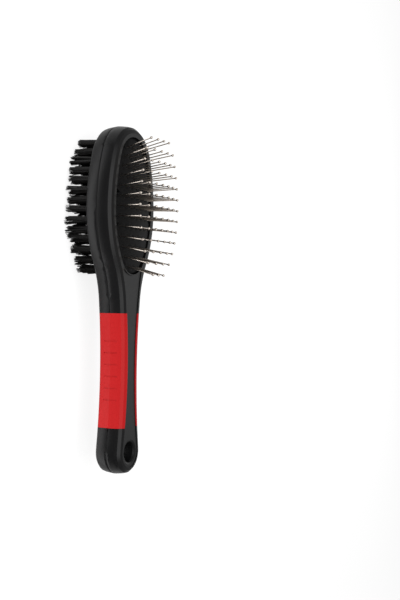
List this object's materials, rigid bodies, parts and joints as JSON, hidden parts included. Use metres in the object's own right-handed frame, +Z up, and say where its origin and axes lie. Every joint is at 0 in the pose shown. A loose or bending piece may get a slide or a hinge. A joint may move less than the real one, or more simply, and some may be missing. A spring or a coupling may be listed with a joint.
{
  "type": "bristle brush",
  "caption": "Double-sided pet grooming brush with ball-tipped wire pins on a rubber cushion on one side, trimmed bristle tufts on the other, and soft grips on a waisted handle.",
  "frame": {"origin": "middle of the brush's length and width, on the plane of the bristle tips, on which it lies", "axes": "+X from the handle to the head, +Y across the width, +Z up to the pin side"},
  "size_m": [0.2206, 0.06, 0.0593],
  "materials": {
    "body_plastic": "soft satin, fine moulded texture",
    "grip_rubber": "matt thermoplastic rubber",
    "cushion_rubber": "matt rubber",
    "inner_plastic": "plain moulded",
    "pin_steel": "drawn wire with bright rounded tips",
    "bristle_nylon": "nylon filaments"
  },
  "bodies": {
    "body": {"bristle_block": "inner_plastic", "bristle_side_shell": "body_plastic", "cushion_tray": "inner_plastic", "grip_bristle_side_left": "grip_rubber", "grip_bristle_side_right": "grip_rubber", "grip_pin_side_left": "grip_rubber", "grip_pin_side_right": "grip_rubber", "pin_cushion": "cushion_rubber", "pin_side_shell": "body_plastic", "tuft_row_01": "bristle_nylon", "tuft_row_02": "bristle_nylon", "tuft_row_03": "bristle_nylon", "tuft_row_04": "bristle_nylon", "tuft_row_05": "bristle_nylon", "tuft_row_06": "bristle_nylon", "tuft_row_07": "bristle_nylon", "tuft_row_08": "bristle_nylon", "tuft_row_09": "bristle_nylon", "tuft_row_10": "bristle_nylon", "tuft_row_11": "bristle_nylon", "tuft_row_12": "bristle_nylon", "tuft_row_13": "bristle_nylon", "tuft_row_14": "bristle_nylon"},
    "pin_field": {"pin_row_01": "pin_steel", "pin_row_02": "pin_steel", "pin_row_03": "pin_steel", "pin_row_04": "pin_steel", "pin_row_05": "pin_steel", "pin_row_06": "pin_steel", "pin_row_07": "pin_steel", "pin_row_08": "pin_steel", "pin_row_09": "pin_steel", "pin_row_10": "pin_steel", "pin_row_11": "pin_steel", "pin_row_12": "pin_steel", "pin_row_13": "pin_steel"}
  },
  "joints": [
    {"name": "cushion_press", "type": "slide", "parent": "body", "child": "pin_field", "axis": [0, 0, 1], "range_m": [-0.0025, 0], "stiffness_N_per_m": 1500, "deforming": ["pin_cushion"]}
  ]
}
